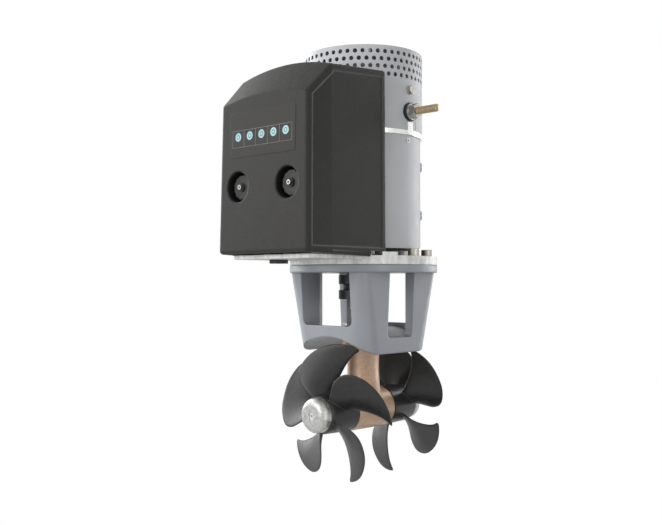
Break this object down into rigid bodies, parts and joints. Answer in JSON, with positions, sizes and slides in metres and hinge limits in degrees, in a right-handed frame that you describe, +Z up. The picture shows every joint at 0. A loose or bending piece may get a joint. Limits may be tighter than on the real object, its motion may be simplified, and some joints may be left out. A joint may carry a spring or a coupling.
{
  "type": "bow thruster",
  "caption": "Electric tunnel bow thruster: DC motor on a cast bracket, bevel-gear leg with twin skewed propellers, and a moulded control cover.",
  "frame": {"origin": "where the drive shaft and the propeller shaft cross, the centre of the tunnel", "axes": "+Z up the drive shaft to the motor, +Y along the propeller shaft away from the control cover, +X towards the terminal"},
  "size_m": [0.2226, 0.2819, 0.5593],
  "materials": {
    "black_iron": "blackened",
    "black_plastic": "smooth",
    "bracket_paint": "satin grey paint on cast aluminium",
    "bronze": "copper-brown coated bronze",
    "carbon": "graphite",
    "copper": "bare copper",
    "cover_plastic": "grained moulded plastic",
    "gasket_paper": "fibre",
    "laminations": "stacked sheet",
    "motor_paint": "smooth light grey paint",
    "plated_steel": "bright zinc plate",
    "propeller_composite": "satin charcoal composite",
    "raw_casting": "raw mottled casting",
    "rubber": "matt",
    "steel": "machined",
    "white_plastic": "smooth",
    "yellow_zinc": "yellow zinc plate",
    "zinc": "cast zinc, matt"
  },
  "bodies": {
    "housing": {"motor_bracket": "bracket_paint", "adapter_plate": "raw_casting", "adapter_bolts": "plated_steel", "motor_yoke": "motor_paint", "pole_shoes": "laminations", "field_coils": "copper", "pole_screws": "motor_paint", "drive_end_bell": "black_iron", "lower_motor_bearing": "steel", "upper_motor_bearing": "steel", "perforated_band": "motor_paint", "clamp_ring": "plated_steel", "top_shield": "motor_paint", "brush_ring": "black_plastic", "brushes": "carbon", "brush_springs": "steel", "terminal_insulator": "black_plastic", "terminal_stud": "yellow_zinc", "terminal_washers": "steel", "terminal_nut": "plated_steel", "band_bolt": "plated_steel", "inspection_tag": "white_plastic", "gear_leg": "bronze", "leg_gasket": "gasket_paper", "leg_bolts": "plated_steel", "drive_shaft_seal": "rubber", "pinion_bearing": "steel", "rear_end_cap": "bronze", "front_end_cap": "bronze", "shaft_seals": "rubber", "shaft_bearings": "steel", "control_bracket": "plated_steel", "cover_studs": "plated_steel", "contactors": "black_iron", "busbars": "copper", "control_box": "black_plastic", "cable_gland": "black_plastic"},
    "rotor": {"armature_shaft": "steel", "armature_core": "laminations", "armature_windings": "copper", "commutator": "copper", "rotor_bearing_inner_rings": "steel", "coupling_upper": "black_iron", "coupling_element": "rubber", "coupling_lower": "black_iron", "drive_shaft": "steel", "drive_pinion": "steel"},
    "propellers": {"propeller_shaft": "steel", "output_gear": "steel", "drive_pins": "steel", "front_propeller": "propeller_composite", "rear_propeller": "propeller_composite", "front_anode": "zinc", "rear_anode": "zinc", "anode_screws": "plated_steel", "shaft_bearing_inner_rings": "steel"},
    "cover": {"control_cover": "cover_plastic"},
    "left_nut": {"left_thumb_nut": "black_plastic"},
    "right_nut": {"right_thumb_nut": "black_plastic"}
  },
  "joints": [
    {"name": "rotor_spin", "type": "hinge", "parent": "housing", "child": "rotor", "pos_m": [0, 0, 0.1], "axis": [0, 0, 1], "continuous": true},
    {"name": "propeller_spin", "type": "hinge", "parent": "housing", "child": "propellers", "pos_m": [0, 0, 0], "axis": [0, 1, 0], "continuous": true},
    {"name": "cover_slide", "type": "slide", "parent": "housing", "child": "cover", "axis": [0, -1, 0], "range_m": [0, 0.14]},
    {"name": "left_nut_turn", "type": "hinge", "parent": "cover", "child": "left_nut", "pos_m": [-0.0485, -0.17, 0.286], "axis": [0, -1, 0], "range_deg": [0, 1440]},
    {"name": "right_nut_turn", "type": "hinge", "parent": "cover", "child": "right_nut", "pos_m": [0.0385, -0.17, 0.286], "axis": [0, -1, 0], "range_deg": [0, 1440]}
  ],
  "couplings": [
    {"joint": "propeller_spin", "follows": "rotor_spin", "ratio": -0.61905}
  ]
}
